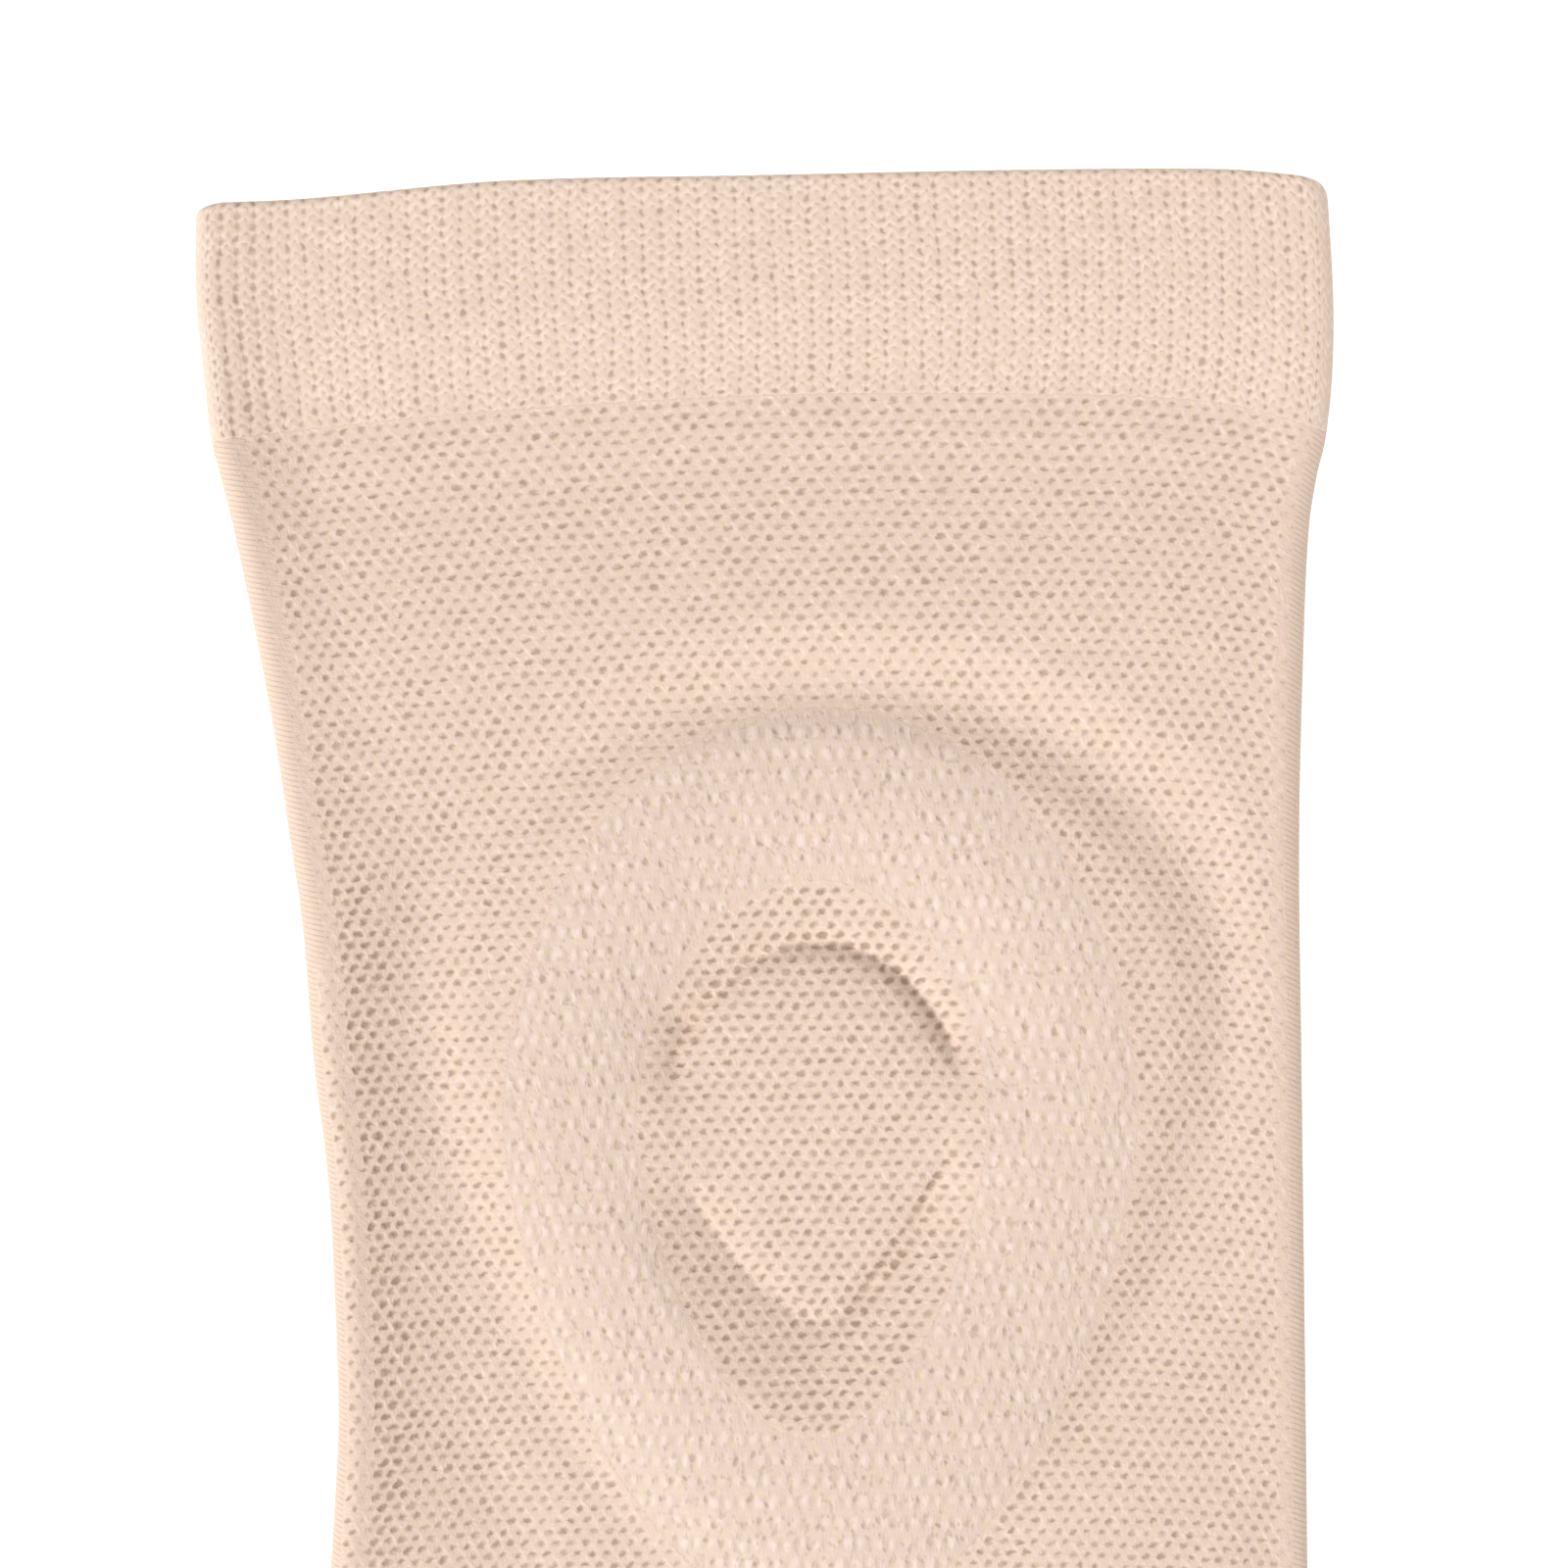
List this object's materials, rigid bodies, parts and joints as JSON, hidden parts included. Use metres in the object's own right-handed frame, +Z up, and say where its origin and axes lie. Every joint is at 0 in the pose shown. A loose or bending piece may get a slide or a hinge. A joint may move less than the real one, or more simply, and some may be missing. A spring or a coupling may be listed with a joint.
{
  "type": "knee compression sleeve",
  "caption": "Pull-on knitted knee compression sleeve laid flat: mesh-knit tubular body, plain thigh and calf welts, and a raised oval pressure pad round the kneecap.",
  "frame": {"origin": "on the table under the middle of the laid-out sleeve", "axes": "+X across the sleeve's width, +Y along it towards the thigh end, +Z up from the table through both layers"},
  "size_m": [0.1743, 0.2851, 0.0078],
  "materials": {
    "mesh_knit": "open mesh knit of matt elastic yarn, beige, rows of small oval holes",
    "welt_knit": "double-layer mesh knit, matt beige, upright columns of fine holes",
    "inlay_knit": "close brick-pattern stitch over a soft pad, matt beige with fine pale glints"
  },
  "bodies": {
    "root": {"front_panel": "mesh_knit", "back_panel": "mesh_knit", "thigh_welt": "welt_knit", "calf_welt": "welt_knit", "patella_ring": "inlay_knit", "patella_window": "mesh_knit"}
  },
  "joints": []
}
